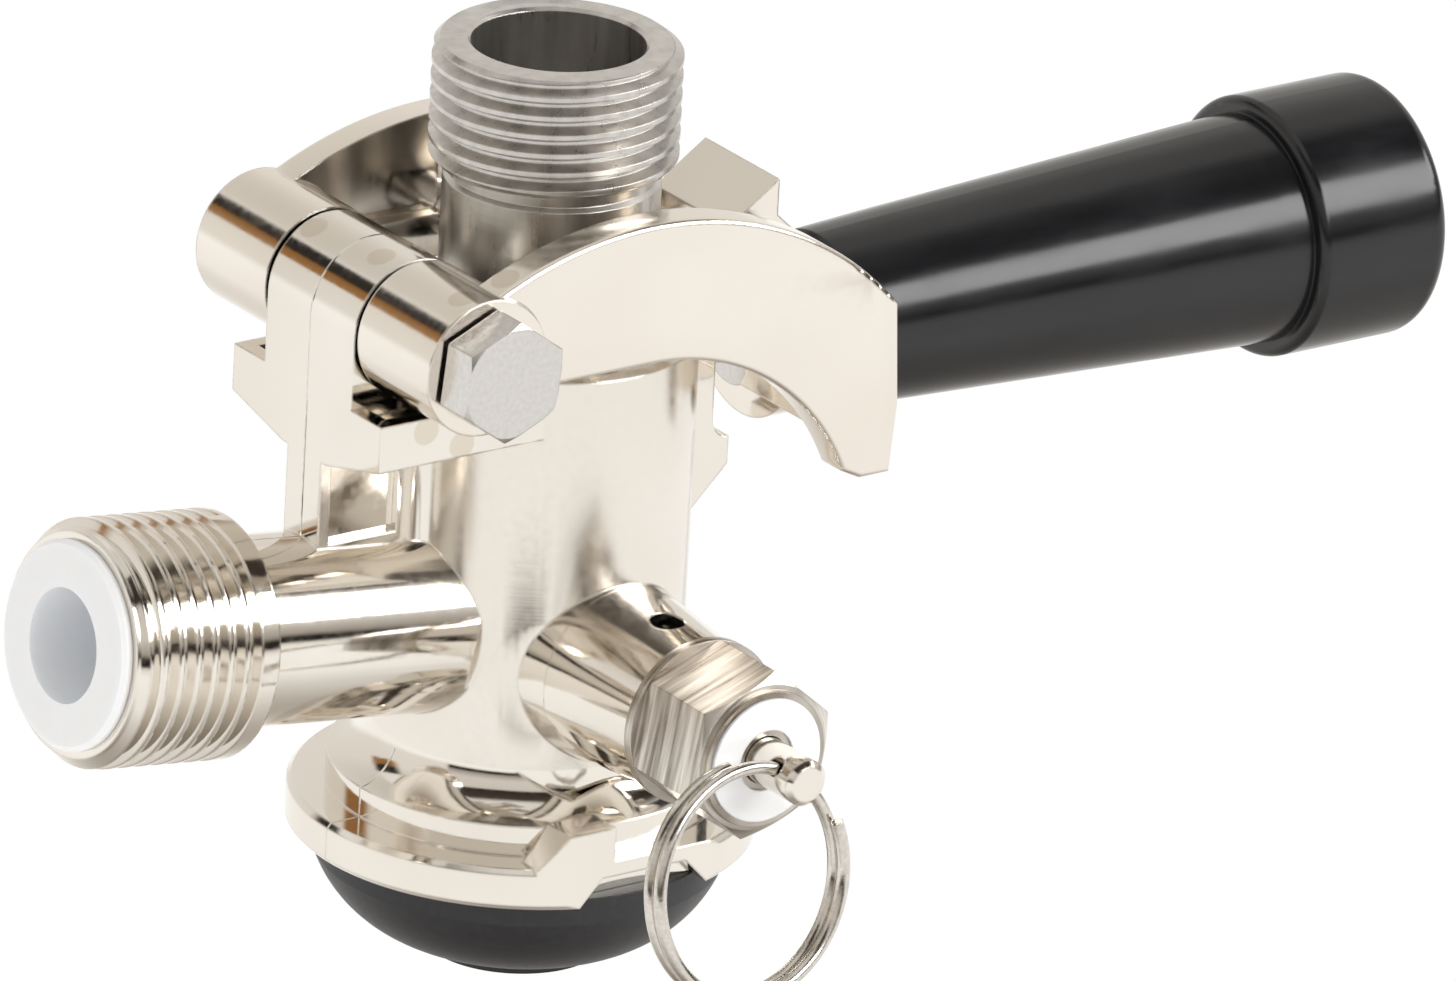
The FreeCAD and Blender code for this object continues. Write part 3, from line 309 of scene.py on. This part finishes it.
def cloudy_silicone(name, tone):
    """Milky silicone rubber that lets some light through, bluish white."""
    material, tree, shader = new_material(name)
    haze = object_noise(tree, 4.0, detail=2.0)
    tree.links.new(ramp(tree, haze, linear(tone[0]), linear(tone[1])), shader.inputs["Base Color"])
    shader.inputs["Roughness"].default_value = 0.3
    shader.inputs["Transmission Weight"].default_value = 0.08
    shader.inputs["Subsurface Weight"].default_value = 1.0
    shader.inputs["Subsurface Radius"].default_value = (0.8, 0.9, 1.0)
    shader.inputs["Subsurface Scale"].default_value = 0.5 * MM
    shader.inputs["IOR"].default_value = 1.41
    return material


# Round marks of the ejector pins on ear, rail and lever arm, in millimetres
CASTING_MARKS = [(-22.3, 5.5, 72.4), (-21.4, -4.0, 72.7), (-21.0, -11.8, 58.3),
                 (-17.0, -11.8, 56.2)]
LEVER_MARKS = [(-16.3, -16.2, 73.75), (-21.0, -16.4, 72.8)]

BRIGHT_NICKEL = nickel_plate("bright_nickel_on_brass", ("#ebe5dc", "#f0ebe3"), 0.06, 0.13,
                             CASTING_MARKS, cast=True)
SATIN_NICKEL = nickel_plate("satin_nickel_on_lever", ("#efe8de", "#f3ede4"), 0.10, 0.16,
                            LEVER_MARKS, 1.6, 0.004)
TURNED_STAINLESS = turned_steel("turned_stainless", ("#c4c1bd", "#dad7d3"))
TURNED_NICKEL = turned_steel("turned_nickel_cap", ("#857a6e", "#f2ede5"), 0.3, (0.02, 1, 0.02),
                             0.7, (0.06, 1, 0.06))
BOLT_STAINLESS = plain_steel("bolt_stainless", ("#d4d1ce", "#dedbd8"), 0.22)
WIRE_STEEL = plain_steel("ring_wire_steel", ("#cfcac3", "#e4dfd8"), 0.14)
BLACK_PLASTIC = moulded_plastic("black_gloss_grip", ("#131315", "#1b1b1e"), 0.16)
WHITE_PLASTIC = moulded_plastic("white_retainer", ("#dedede", "#eaeaea"), 0.35)
LABEL_WHITE = moulded_plastic("white_label_disc", ("#e6e6e6", "#eeeeee"), 0.4)
SEAL_RUBBER = moulded_rubber("seal_rubber", ("#1f1f22", "#29292c"))
SILICONE = cloudy_silicone("cloudy_silicone", ("#f1f6ff", "#fbfdff"))

FINISH = {
    "body_casting": BRIGHT_NICKEL, "lever_yoke": SATIN_NICKEL, "probe": TURNED_STAINLESS,
    "probe_ring_seal": SEAL_RUBBER, "body_top_seal": SEAL_RUBBER, "bottom_seal": SEAL_RUBBER,
    "relief_seal_disc": SEAL_RUBBER, "check_ball": WIRE_STEEL, "ball_retainer": WHITE_PLASTIC,
    "gas_check_valve": SILICONE, "relief_cap": TURNED_NICKEL, "relief_label": LABEL_WHITE,
    "relief_pull_pin": BRIGHT_NICKEL, "relief_poppet": BRIGHT_NICKEL,
    "relief_spring": WIRE_STEEL, "handle_spring": WIRE_STEEL, "split_ring": WIRE_STEEL,
    "hinge_bolt": BOLT_STAINLESS, "drive_pin_near": BOLT_STAINLESS,
    "drive_pin_far": BOLT_STAINLESS, "handle_rod": BOLT_STAINLESS, "handle_grip": BLACK_PLASTIC,
}


def dress(thing, material):
    if thing.data.materials:
        for index in range(len(thing.data.materials)):
            thing.data.materials[index] = material
    else:
        thing.data.materials.append(material)


for node, material in FINISH.items():
    dress(nodes[node], material)


def thread_cutter(name, base, way, start, end):
    """A helical V as a solid, to cut a thread's groove; it runs out past both ends."""
    turns = (end - start) / THREAD_PITCH
    half = THREAD_PITCH * 0.47
    root = THREAD_PITCH * 0.09
    outside = 0.4 * MM
    corners = [(THREAD_RADIUS + outside, -half), (THREAD_RADIUS + outside, half),
               (THREAD_RADIUS - THREAD_DEPTH, root), (THREAD_RADIUS - THREAD_DEPTH, -root)]
    bpy.ops.mesh.primitive_plane_add(size=1, location=(0, 0, 0))
    cutter = bpy.context.active_object
    cutter.name = name
    mesh = bmesh.new()
    ring = [mesh.verts.new((radius, 0, height)) for radius, height in corners]
    for index in range(4):
        mesh.edges.new((ring[index - 1], ring[index]))
    mesh.to_mesh(cutter.data)
    mesh.free()
    steps = 72
    apply_modifier(cutter, "SCREW", "thread", axis="Z", angle=math.tau * turns,
                   screw_offset=end - start, steps=int(steps * turns),
                   render_steps=int(steps * turns), use_merge_vertices=False)
    pick(cutter)
    bpy.ops.object.mode_set(mode="EDIT")
    bpy.ops.mesh.select_all(action="DESELECT")
    bpy.ops.mesh.select_non_manifold()
    bpy.ops.mesh.edge_face_add()
    bpy.ops.mesh.select_all(action="SELECT")
    bpy.ops.mesh.normals_make_consistent(inside=False)
    bpy.ops.object.mode_set(mode="OBJECT")
    turn = Vector((0, 0, 1)).rotation_difference(way).to_matrix().to_4x4()
    cutter.data.transform(Matrix.Translation(base + way * start) @ turn)
    return cutter


def block(name, low, high):
    """A plain box between two corners, in millimetres."""
    bpy.ops.mesh.primitive_cube_add(size=1, location=(0, 0, 0))
    made = bpy.context.active_object
    made.name = name
    low, high = Vector(low) * MM, Vector(high) * MM
    made.data.transform(Matrix.Translation((low + high) / 2) @ Matrix.Diagonal((*(high - low), 1)))
    return made


def rod(name, start, end, radius, end_radius=None):
    """A round bar between two points, in millimetres."""
    start, end = Vector(start) * MM, Vector(end) * MM
    bpy.ops.mesh.primitive_cone_add(vertices=256, radius1=radius * MM, depth=(end - start).length,
                                    radius2=(radius if end_radius is None else end_radius) * MM,
                                    location=(0, 0, 0))
    made = bpy.context.active_object
    made.name = name
    turn = Vector((0, 0, 1)).rotation_difference(end - start).to_matrix().to_4x4()
    made.data.transform(Matrix.Translation((start + end) / 2) @ turn)
    return made


def cut(piece, cutter):
    apply_modifier(piece, "BOOLEAN", "cut", object=cutter, operation="DIFFERENCE",
                   solver="EXACT")
    bpy.data.objects.remove(cutter)


def smooth_by_angle(piece, degrees=32):
    pick(piece)
    bpy.ops.object.shade_smooth_by_angle(angle=math.radians(degrees))


def threaded(node, name, body, base, way, start, end, material, trims=()):
    piece = merged_copy(node, name)
    for trim in trims:
        cut(piece, trim)
    cut(piece, thread_cutter(f"{name}_cutter", base, way, start, end))
    piece.data.materials.clear()
    piece.data.materials.append(material)
    smooth_by_angle(piece)
    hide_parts(node)
    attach(piece, body)
    return piece


threaded("probe", "threaded_probe", "probe", Vector((0, 0, 0)), Vector((0, 0, 1)),
         probe_top - OUTLET_THREAD_LENGTH - THREAD_PITCH * 0.7,
         probe_top + THREAD_PITCH * 0.6, TURNED_STAINLESS)
# The relief boss leaves the barrel with a sharp root at its sides
root_trim = rod("root_trim", (0, -7.6, RELIEF_Z), (0, -14.6, RELIEF_Z), 12.5)
cut(root_trim, rod("boss", (0, -5.0, RELIEF_Z), (0, -26.5, RELIEF_Z), 9.7, 7.0))
cut(root_trim, rod("barrel", (0, 0, 10), (0, 0, 50), BARREL + CLEAR))
threaded("body_casting", "threaded_casting", "body", INLET_BASE, INLET_WAY,
         INLET_THREAD[0], INLET_THREAD[1] + THREAD_PITCH, BRIGHT_NICKEL,
         trims=[root_trim])


# The lever's arms are thin walls with a rib along their lower edge, up to the hinge barrels
yoke = merged_copy("lever_yoke", "open_yoke")
for half_width, low, high in ((14.8, 67.4, 95.0), (13.3, 50.0, 67.5)):
    gap = block("arm_gap", (-22.0, -half_width, low), (1.0, half_width, high))
    cut(gap, rod("hinge_barrels", (HINGE_X, -25.0, HINGE_Z), (HINGE_X, 25.0, HINGE_Z),
                 HINGE_BARREL + CLEAR))
    cut(yoke, gap)
dress(yoke, SATIN_NICKEL)
smooth_by_angle(yoke)
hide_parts("lever_yoke")
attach(yoke, "lever")


def camera():
    """The photograph's viewing direction, from a long lens."""
    azimuth, elevation, roll = (math.radians(a) for a in (-36.23, 21.77, 3.075))
    back = Vector((math.sin(azimuth) * math.cos(elevation),
                   -math.cos(azimuth) * math.cos(elevation), math.sin(elevation)))
    right = Vector((math.cos(azimuth), math.sin(azimuth), 0))
    up = back.cross(right)
    right, up = (math.cos(roll) * right + math.sin(roll) * up,
                 math.cos(roll) * up - math.sin(roll) * right)
    # Metres from the aim point, and the offsets of the picture's middle from it
    distance, across, rise, height = 2.47255, -0.01752, -0.000416, 0.0439
    focal_pixels, picture_width, sensor_mm = 27138.2, 1456, 36
    place = Vector((0, 0, height)) - across * right - rise * up + distance * back
    data = bpy.data.cameras.new("camera")
    data.sensor_width = sensor_mm
    data.lens = focal_pixels / picture_width * sensor_mm
    data.clip_start, data.clip_end = 0.1, 20
    made = bpy.data.objects.new("camera", data)
    bpy.context.scene.collection.objects.link(made)
    made.matrix_world = Matrix.Translation(place) @ Matrix((right, up, back)).transposed().to_4x4()
    bpy.context.scene.camera = made


def lamp(name, place, size, power, colour="#ffffff"):
    """A soft rectangular lamp that faces the object."""
    data = bpy.data.lights.new(name, "AREA")
    data.shape = "RECTANGLE"
    data.size, data.size_y = size
    data.energy = power
    data.color = linear(colour)[:3]
    made = bpy.data.objects.new(name, data)
    bpy.context.scene.collection.objects.link(made)
    target = Vector((0.01, 0, 0.05))
    made.location = Vector(place)
    made.rotation_euler = (target - made.location).to_track_quat("-Z", "Y").to_euler()
    made.visible_camera = False


def floor():
    """A plain white floor under the seal; the camera sees it as white."""
    bpy.ops.mesh.primitive_plane_add(size=6, location=(0, 0, seal_foot))
    ground = bpy.context.active_object
    ground.name = "floor"
    material = bpy.data.materials.new("white_floor")
    material.use_nodes = True
    tree = material.node_tree
    tree.nodes.clear()
    paint = add_node(tree, "ShaderNodeBsdfDiffuse", {"Color": linear("#f4f4f4")})
    glow = add_node(tree, "ShaderNodeEmission", {"Color": (1, 1, 1, 1), "Strength": 0.3})
    both = add_node(tree, "ShaderNodeAddShader", links={0: paint.outputs[0], 1: glow.outputs[0]})
    white = add_node(tree, "ShaderNodeEmission", {"Color": (1, 1, 1, 1), "Strength": 1.0})
    path = add_node(tree, "ShaderNodeLightPath")
    seen = add_node(tree, "ShaderNodeMixShader", links={
        0: path.outputs["Is Camera Ray"], 1: both.outputs[0], 2: white.outputs[0]})
    add_node(tree, "ShaderNodeOutputMaterial", links={"Surface": seen.outputs[0]})
    ground.data.materials.append(material)
    ground.visible_glossy = False


def levels(tree, factor, steps):
    """A ramp through several positions and their sRGB colours."""
    made = add_node(tree, "ShaderNodeValToRGB", links={"Fac": factor})
    elements = made.color_ramp.elements
    elements.remove(elements[1])
    elements[0].position, elements[0].color = steps[0][0], linear(steps[0][1])
    for position, colour in steps[1:]:
        elements.new(position).color = linear(colour)
    return made.outputs[0]


# What bright metal sees at each height of its surroundings, from straight down (0)
# through the table's far edge (0.5) to straight up (1)
TABLE = [(0.0, "#8d857c"), (0.1, "#c9c4bd"), (0.24, "#f8f6f3"), (0.44, "#fffefc")]
FRONT = TABLE + [(0.48, "#e2ddd6"), (0.494, "#1d1917"), (0.535, "#26211e"), (0.56, "#a09991"),
                 (0.66, "#d5d1cb"), (0.81, "#d2cdc6"), (0.825, "#2e2723"), (0.93, "#453c35"),
                 (0.96, "#e0ded9")]
BACK = TABLE + [(0.5, "#e6e2dc"), (0.7, "#e4e0da"), (0.86, "#cbc6be"), (1.0, "#e4e2de")]
LEFT = TABLE + [(0.5, "#e6e3de"), (0.66, "#e2ded7"), (0.662, "#9c7143"), (0.725, "#8d6439"),
                (0.727, "#2e2a27"), (0.79, "#2b2826"), (0.792, "#e6e3de"), (1.0, "#eeece9")]


def world():
    """A white studio: white to the camera and to matt surfaces, banded to bright metal."""
    made = bpy.data.worlds.new("studio")
    bpy.context.scene.world = made
    made.use_nodes = True
    tree = made.node_tree
    tree.nodes.clear()
    way = add_node(tree, "ShaderNodeTexCoord").outputs["Generated"]
    part = add_node(tree, "ShaderNodeSeparateXYZ", links={"Vector": way})
    height = sums(tree, "MULTIPLY_ADD", part.outputs["Z"], 0.5, 0.5)
    angle = sums(tree, "ARCTAN2", part.outputs["Y"], part.outputs["X"])
    bearing = sums(tree, "MULTIPLY_ADD", angle, 1 / math.tau, 0.5)
    front_to_back = levels(tree, bearing, [(0.5, "#000000"), (0.56, "#ffffff")])
    to_left = levels(tree, bearing, [(0.795, "#000000"), (0.81, "#ffffff"), (0.86, "#ffffff"),
                                     (0.88, "#000000")])
    colour = add_node(tree, "ShaderNodeMix", {"data_type": "RGBA"}, {
        0: front_to_back, 6: levels(tree, height, FRONT), 7: levels(tree, height, BACK)}).outputs[2]
    colour = add_node(tree, "ShaderNodeMix", {"data_type": "RGBA"}, {
        0: to_left, 6: colour, 7: levels(tree, height, LEFT)}).outputs[2]
    bands = add_node(tree, "ShaderNodeBackground", {"Strength": 1.05}, {"Color": colour})
    soft = add_node(tree, "ShaderNodeBackground", {"Color": linear("#f4f3f1"), "Strength": 0.9})
    white = add_node(tree, "ShaderNodeBackground", {"Color": (1, 1, 1, 1), "Strength": 1.0})
    path = add_node(tree, "ShaderNodeLightPath")
    seen = add_node(tree, "ShaderNodeMixShader", links={
        0: path.outputs["Is Glossy Ray"], 1: soft.outputs[0], 2: bands.outputs[0]})
    mixed = add_node(tree, "ShaderNodeMixShader", links={
        0: path.outputs["Is Camera Ray"], 1: seen.outputs[0], 2: white.outputs[0]})
    add_node(tree, "ShaderNodeOutputWorld", links={"Surface": mixed.outputs[0]})


camera()
floor()
world()
lamp("key_softbox", (0.68, -0.81, 0.61), (1.3, 0.42), 11)

bpy.context.scene.view_settings.view_transform = "Standard"
